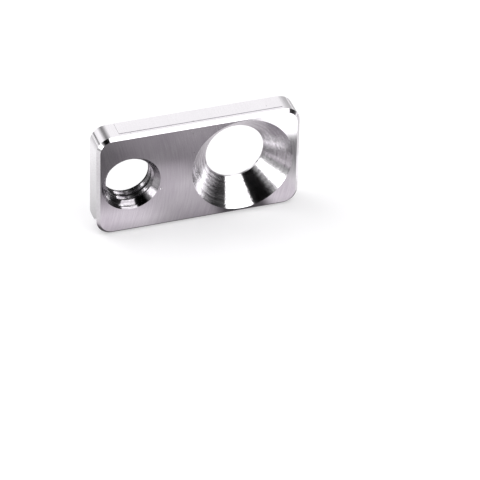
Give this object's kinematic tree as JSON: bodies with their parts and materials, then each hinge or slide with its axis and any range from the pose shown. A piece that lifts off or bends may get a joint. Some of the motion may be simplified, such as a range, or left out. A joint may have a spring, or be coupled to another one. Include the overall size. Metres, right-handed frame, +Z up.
{
  "type": "machined mounting block",
  "caption": "Flat rounded aluminium block with broken edges, a tapped hole through one end and a countersunk screw hole through the other.",
  "frame": {"origin": "middle of the block's length and thickness, on the surface that its long edge stands on", "axes": "+X along the length, from the tapped end to the countersunk end; +Y through the thickness, from the countersunk front face to the plain back face; +Z up across the width"},
  "size_m": [0.0466, 0.0064, 0.0254],
  "materials": {
    "machined_aluminium": "milled and lightly polished"
  },
  "bodies": {
    "root": {"mounting_block": "machined_aluminium"}
  },
  "joints": []
}
